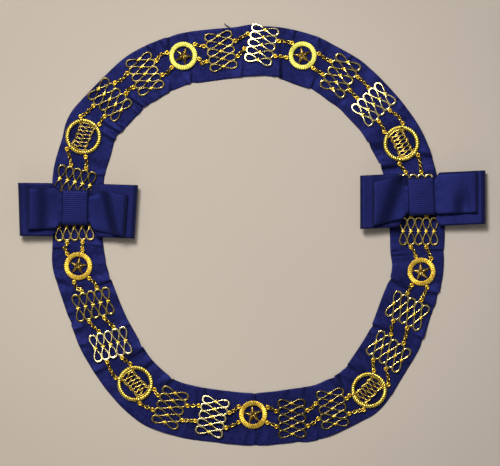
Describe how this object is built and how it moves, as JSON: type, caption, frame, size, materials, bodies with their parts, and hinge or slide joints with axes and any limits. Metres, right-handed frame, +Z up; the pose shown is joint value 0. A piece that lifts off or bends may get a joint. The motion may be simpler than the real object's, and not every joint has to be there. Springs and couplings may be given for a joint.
{
  "type": "masonic chain collar",
  "caption": "Wide ribbon collar laid in an oval loop, carrying a chain of pierced gilt plaques and medallions joined by short double chains, with a double bow on each side.",
  "frame": {"origin": "centre of the collar's footprint, on the surface that its ribbon lies on", "axes": "+Z up out of the surface that it lies on, +Y towards the end of the loop behind the neck, +X across the loop towards the right-hand bow"},
  "size_m": [0.5038, 0.4532, 0.022],
  "materials": {
    "ribbon_cloth": "royal-blue ribbon with a fine cross rib and a soft sheen",
    "bow_cloth": "royal-blue grosgrain ribbon",
    "gilt": "bright gilt cast metal, polished on its raised faces"
  },
  "bodies": {
    "root": {"collar_ribbon": "ribbon_cloth", "knot_panel_01": "gilt", "knot_panel_02": "gilt", "knot_panel_03": "gilt", "knot_panel_04": "gilt", "knot_panel_05": "gilt", "knot_panel_06": "gilt", "knot_panel_07": "gilt", "knot_panel_08": "gilt", "knot_panel_09": "gilt", "knot_panel_10": "gilt", "knot_panel_11": "gilt", "knot_panel_12": "gilt", "knot_panel_13": "gilt", "knot_panel_14": "gilt", "knot_panel_15": "gilt", "knot_panel_16": "gilt", "knot_panel_17": "gilt", "knot_panel_18": "gilt", "star_medallion_01": "gilt", "star_medallion_02": "gilt", "star_medallion_03": "gilt", "star_medallion_04": "gilt", "star_medallion_05": "gilt", "roundel_01": "gilt", "roundel_02": "gilt", "roundel_03": "gilt", "roundel_04": "gilt", "left_bow_back_loop": "bow_cloth", "left_bow_front_loop": "bow_cloth", "left_bow_wrap": "bow_cloth", "right_bow_back_loop": "bow_cloth", "right_bow_front_loop": "bow_cloth", "right_bow_wrap": "bow_cloth"}
  },
  "joints": []
}
